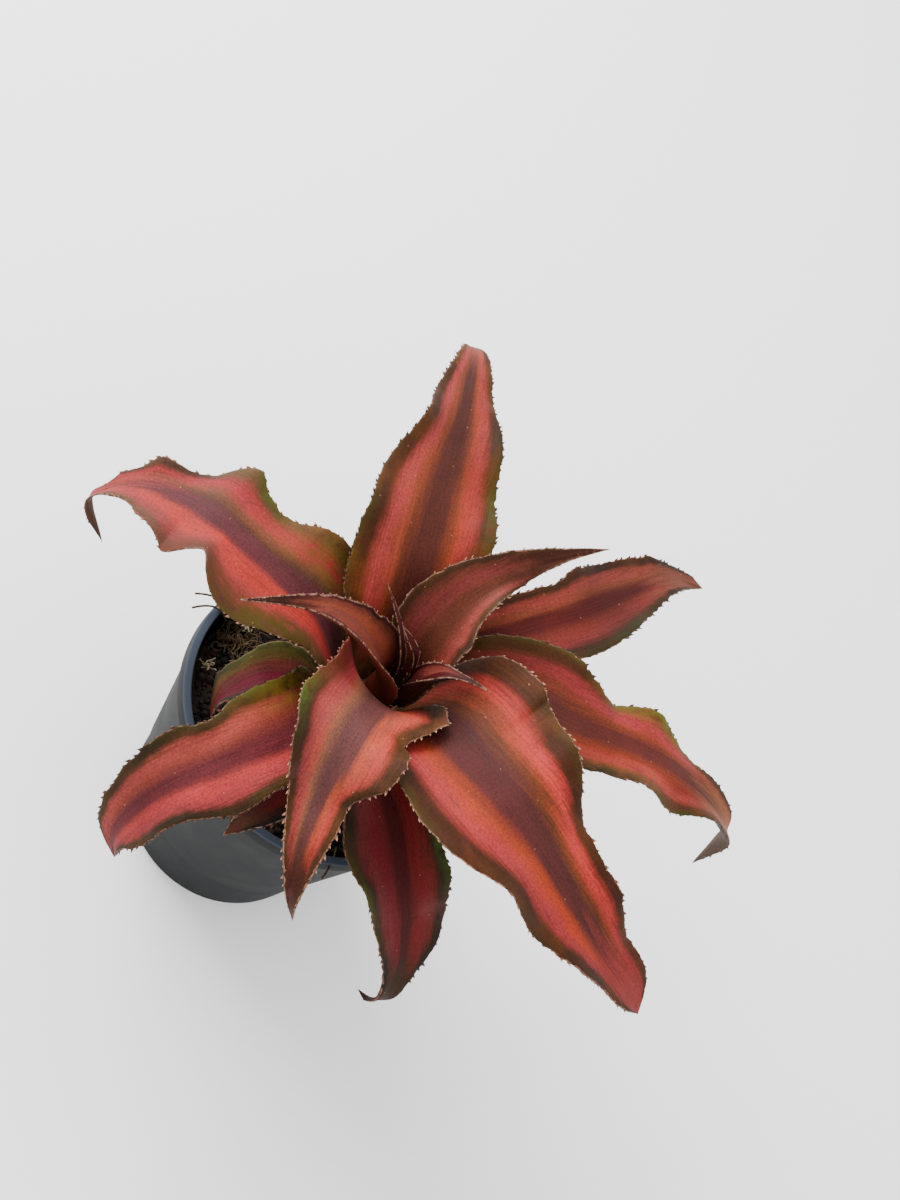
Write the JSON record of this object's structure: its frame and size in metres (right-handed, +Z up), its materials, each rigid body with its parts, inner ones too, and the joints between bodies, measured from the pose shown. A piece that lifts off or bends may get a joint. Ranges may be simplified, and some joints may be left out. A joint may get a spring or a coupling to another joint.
{
  "type": "potted cryptanthus",
  "caption": "Small potted cryptanthus: a rosette of striped, wavy, spiny-edged pointed leaves on a short stem in a round nursery pot of soil.",
  "frame": {"origin": "middle of the underside of the pot's floor, where the pot stands", "axes": "+Z up along the pot's axis; -Y towards the side that the picture was taken from; +X to the right seen from -Y"},
  "size_m": [0.1249, 0.1247, 0.0883],
  "materials": {
    "leaf": "satin leaf skin with pink and brown lengthwise bands",
    "pot_plastic": "thin dark moulded plastic, satin",
    "soil": "moist dark peat, matt and crumbly",
    "stem": "ringed with leaf scars, matt"
  },
  "bodies": {
    "root": {"leaf_01": "leaf", "leaf_02": "leaf", "leaf_03": "leaf", "leaf_04": "leaf", "leaf_05": "leaf", "leaf_06": "leaf", "leaf_07": "leaf", "leaf_08": "leaf", "leaf_09": "leaf", "leaf_10": "leaf", "leaf_11": "leaf", "leaf_12": "leaf", "leaf_13": "leaf", "leaf_14": "leaf", "leaf_15": "leaf", "pot": "pot_plastic", "soil": "soil", "stem": "stem"}
  },
  "joints": []
}
